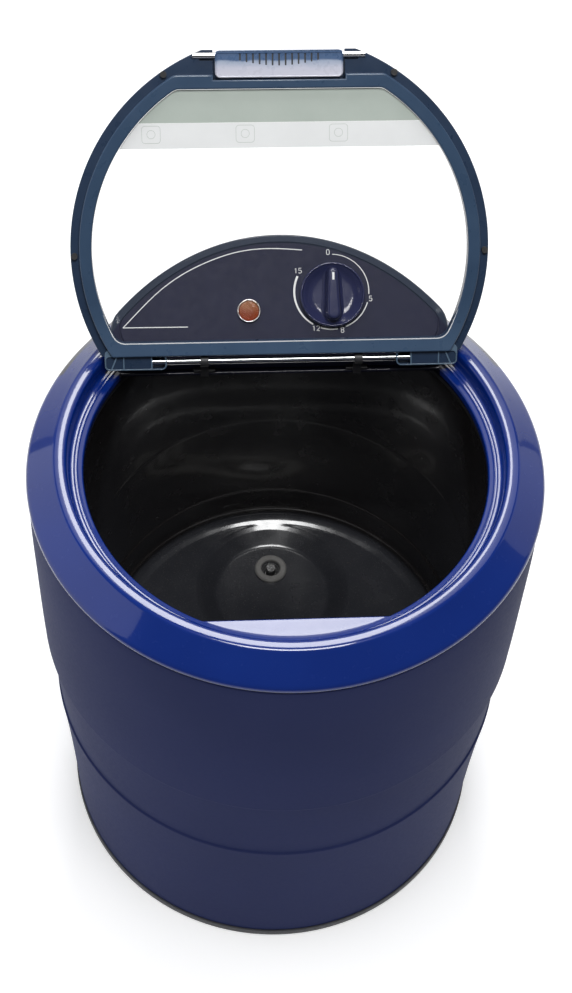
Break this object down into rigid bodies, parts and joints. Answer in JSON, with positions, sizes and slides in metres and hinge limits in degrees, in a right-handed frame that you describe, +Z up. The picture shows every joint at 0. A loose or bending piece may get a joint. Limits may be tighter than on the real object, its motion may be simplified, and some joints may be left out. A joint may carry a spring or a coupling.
{
  "type": "semi-automatic washing machine",
  "caption": "Round top-loading semi-automatic washing machine with a drum-shaped cabinet, hinged windowed lid, rear console with timer knob and lamp, and belt-driven hub.",
  "frame": {"origin": "centre of the round foot rim, on the floor", "axes": "+Z up, -Y towards the user (front), +Y towards the console and hinge, +X to the user's right"},
  "size_m": [0.5158, 0.5658, 0.8849],
  "materials": {
    "foot_plastic": "matte",
    "cabinet_paint": "satin dark navy paint",
    "ring_gloss": "high gloss deep blue",
    "tub_enamel": "glossy near-black enamel",
    "zinc_steel": "zinc plated",
    "black_rubber": "matte",
    "hub_grey": "satin grey",
    "cast_metal": "as cast",
    "bush_bronze": "sintered bronze",
    "shaft_steel": "ground",
    "motor_paint": "painted end caps",
    "belt_rubber": "matte",
    "capacitor_can": "moulded can",
    "fitting_black": "moulded",
    "hose_grey": "soft plastic",
    "console_dark": "satin dark navy",
    "knob_dark": "gloss",
    "bezel_silver": "bright ring",
    "lens_amber": "amber pilot lens",
    "rod_chrome": "polished",
    "lid_dark": "satin dark navy",
    "window_clear": "clear",
    "band_grey": "printed grey-green strip",
    "band_white": "printed white strip"
  },
  "bodies": {
    "machine": {"base_rim": "foot_plastic", "cabinet_shell": "cabinet_paint", "base_pan": "foot_plastic", "base_screws": "zinc_steel", "top_ring": "ring_gloss", "tub_support_ring": "zinc_steel", "tub": "tub_enamel", "tub_seal": "black_rubber", "hub_ring": "hub_grey", "bearing_housing": "cast_metal", "upper_bush": "bush_bronze", "lower_bush": "bush_bronze", "shaft_seal": "black_rubber", "drive_frame": "zinc_steel", "frame_spacers": "zinc_steel", "frame_nuts": "zinc_steel", "motor_housing": "motor_paint", "motor_stator": "shaft_steel", "motor_bearings": "shaft_steel", "drive_belt": "belt_rubber", "rubber_mounts": "black_rubber", "motor_bolts": "zinc_steel", "capacitor": "capacitor_can", "capacitor_clamp": "zinc_steel", "drain_strainer": "hub_grey", "drain_outlet": "fitting_black", "drain_hose_inner": "hose_grey", "drain_spigot": "fitting_black", "cord_gland": "fitting_black", "console_cover": "console_dark", "timer_body": "fitting_black", "lamp_body": "fitting_black", "lamp_bezel": "bezel_silver", "lamp_lens": "lens_amber", "wiring_harness": "black_rubber", "hinge_rod": "rod_chrome", "hinge_bracket_left": "fitting_black", "hinge_bracket_right": "fitting_black"},
    "lid": {"lid_frame": "lid_dark", "lid_window": "window_clear", "upper_band": "band_grey", "lower_band": "band_white", "lid_bumpers": "black_rubber", "handle_rod": "rod_chrome"},
    "handle": {"lid_handle": "lid_dark"},
    "dial": {"timer_knob": "knob_dark", "timer_spindle": "shaft_steel"},
    "drive": {"drive_shaft": "shaft_steel", "driven_pulley": "cast_metal", "pulley_nut": "zinc_steel"},
    "motor": {"motor_rotor": "shaft_steel", "motor_pulley": "cast_metal"}
  },
  "joints": [
    {"name": "lid_hinge", "type": "hinge", "parent": "machine", "child": "lid", "pos_m": [0, 0.11, 0.6467], "axis": [1, 0, 0], "range_deg": [0, 130]},
    {"name": "handle_pivot", "type": "hinge", "parent": "lid", "child": "handle", "pos_m": [0, 0.2999, 0.87768], "axis": [1, 0, 0], "range_deg": [0, 15], "stiffness_Nm_per_rad": 0.05, "springref_deg": -17.19},
    {"name": "timer_turn", "type": "hinge", "parent": "machine", "child": "dial", "pos_m": [0.0538, 0.17084, 0.6742], "axis": [0, -0.5878, 0.809], "range_deg": [-303, 0]},
    {"name": "motor_spin", "type": "hinge", "parent": "machine", "child": "motor", "pos_m": [0, -0.058, 0.1], "axis": [0, 0, 1], "continuous": true},
    {"name": "drive_spin", "type": "hinge", "parent": "machine", "child": "drive", "pos_m": [0, 0.1305, 0.15], "axis": [0, 0, 1], "continuous": true}
  ],
  "couplings": [
    {"joint": "drive_spin", "follows": "motor_spin", "ratio": 0.222}
  ]
}
